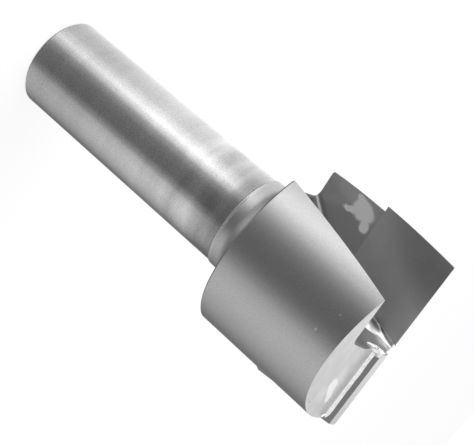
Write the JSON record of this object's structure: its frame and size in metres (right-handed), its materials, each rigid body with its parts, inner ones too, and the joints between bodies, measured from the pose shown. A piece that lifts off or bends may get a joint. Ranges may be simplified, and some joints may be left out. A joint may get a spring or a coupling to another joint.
{
  "type": "router bit",
  "caption": "Straight-shank router bit with brazed carbide tips and open chip gullets, for flat-bottomed mortises and recesses.",
  "frame": {"origin": "centre of the shank's end face, which the bit stands on", "axes": "+Z along the tool's axis from the shank end to the cutting end; +X along the cutting edges at the cutting end"},
  "size_m": [0.0254, 0.0238, 0.0576],
  "materials": {
    "ground_steel": "ground",
    "carbide": "ground, dark grey",
    "braze": "bright, as run"
  },
  "bodies": {
    "root": {"steel_body": "ground_steel", "carbide_tip_1": "carbide", "carbide_tip_2": "carbide", "braze_bead_1": "braze", "braze_bead_2": "braze"}
  },
  "joints": []
}
